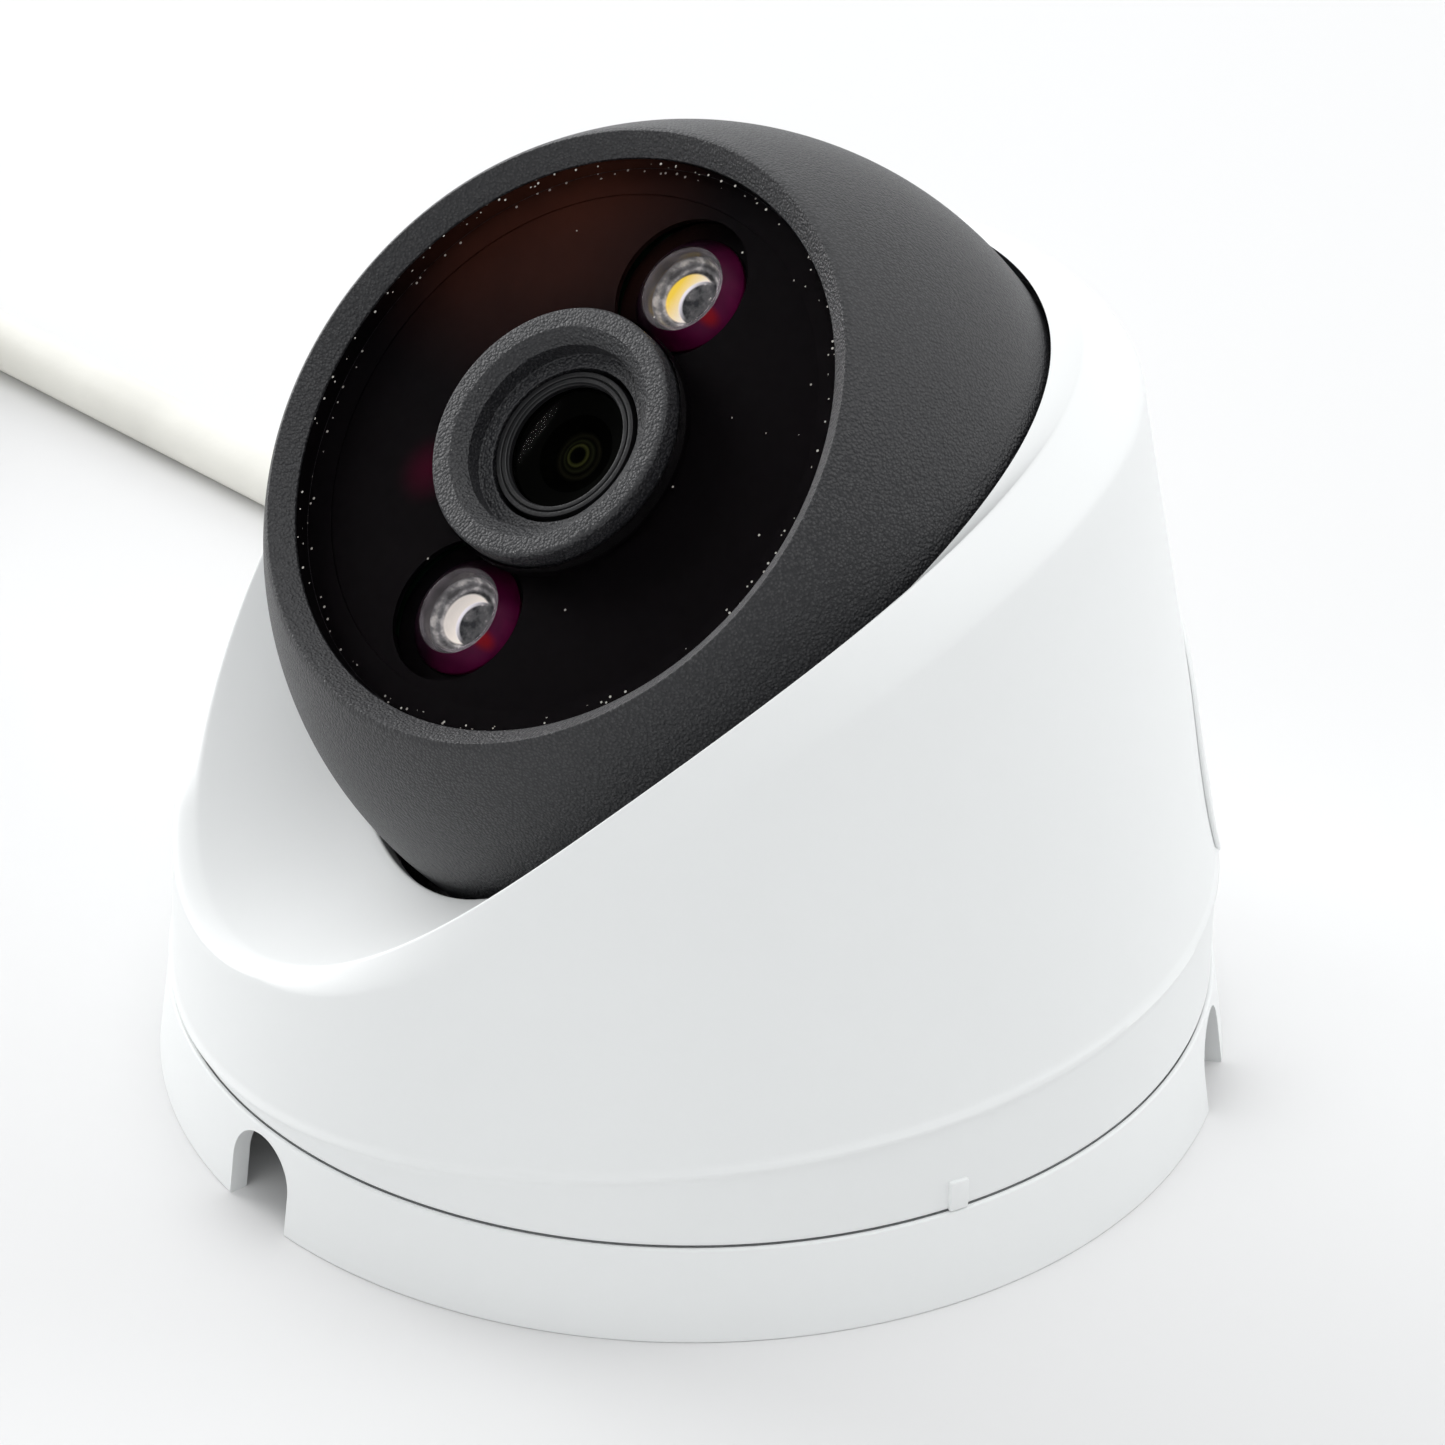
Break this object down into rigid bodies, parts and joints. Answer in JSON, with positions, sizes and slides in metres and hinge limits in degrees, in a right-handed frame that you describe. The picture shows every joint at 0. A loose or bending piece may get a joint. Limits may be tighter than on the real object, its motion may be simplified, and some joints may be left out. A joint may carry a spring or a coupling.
{
  "type": "dome security camera",
  "caption": "Surface-mount dome camera: round base, turning slanted cover and a black ball head with lens and two lamps that swivels, tilts and rolls, with a tail cable.",
  "frame": {"origin": "centre of the base's fixing face, which lies at z = 0", "axes": "+Z out of the fixing face towards the ball, and the low front of the cover faces -Y at rest"},
  "size_m": [0.2823, 0.1776, 0.0975],
  "materials": {
    "housing": "satin white moulded housing with a very fine texture",
    "badge": "blank satin plate",
    "ball": "charcoal plastic with a fine spark-eroded grain",
    "hood": "charcoal textured ring",
    "mask": "black printed mask and mouldings",
    "window": "dark tinted glossy window",
    "lens_metal": "black anodised lens barrel",
    "lens_glass": "coated lens glass",
    "lamp_lens": "clear moulded lens",
    "phosphor": "yellow phosphor chip",
    "filter": "infrared cut filter",
    "board": "green circuit board",
    "sensor": "image sensor",
    "plug_white": "small white board connector",
    "heat_sink": "extruded fins",
    "steel": "plated steel",
    "contact": "plated contacts and pillars",
    "rubber": "black rubber",
    "cable": "cream cable jacket",
    "socket_black": "black moulded in-line socket"
  },
  "bodies": {
    "base": {"base_plate": "housing", "seal_ring": "rubber", "pan_retainer": "steel", "retainer_screws": "steel", "cable_gland": "rubber", "tail_cable": "cable", "cable_coil": "cable", "tail_end": "cable", "lan_socket": "socket_black", "lan_contacts": "contact"},
    "cover": {"cover_shell": "housing", "pan_ring": "housing", "socket_ring": "ball", "socket_screws": "steel", "rear_badge": "badge", "index_tab": "housing"},
    "swivel": {"swivel_bow": "ball", "friction_band": "rubber"},
    "tilt": {"tilt_shoe": "steel"},
    "head": {"front_shell": "ball", "rear_shell": "ball", "shell_seal": "rubber", "shell_screws": "steel", "front_glass": "window", "mask_plate": "mask", "lens_hood": "hood", "lens_barrel": "lens_metal", "lens_front_ring": "lens_metal", "lens_front_element": "lens_glass", "lens_iris": "lens_metal", "lens_rear_element": "lens_glass", "lens_holder": "mask", "sensor_board": "board", "image_sensor": "sensor", "board_socket": "plug_white", "lamp_board": "board", "lamp_chip_upper": "phosphor", "lamp_chip_lower": "phosphor", "lamp_lens_upper": "lamp_lens", "lamp_lens_lower": "lamp_lens", "heat_sink": "heat_sink", "main_board": "board", "board_pillars": "contact"},
    "filter": {"filter_slide": "filter"}
  },
  "joints": [
    {"name": "cover_pan", "type": "hinge", "parent": "base", "child": "cover", "pos_m": [0, 0, 0.012], "axis": [0, 0, 1], "range_deg": [-175, 175]},
    {"name": "head_swivel", "type": "hinge", "parent": "cover", "child": "swivel", "pos_m": [0, -0.0005, 0.0562], "axis": [0, -0.632, 0.7749], "range_deg": [-170, 170]},
    {"name": "head_tilt", "type": "hinge", "parent": "swivel", "child": "tilt", "pos_m": [0, -0.0005, 0.0562], "axis": [0.0993, 0.7711, 0.6289], "range_deg": [-17.3, 39]},
    {"name": "head_roll", "type": "hinge", "parent": "tilt", "child": "head", "pos_m": [0, -0.0005, 0.0562], "axis": [0.2959, -0.6263, 0.7212], "range_deg": [-170, 170]},
    {"name": "filter_switch", "type": "slide", "parent": "head", "child": "filter", "axis": [0.9247, 0.3773, -0.0517], "range_m": [0, 0.0065]}
  ]
}
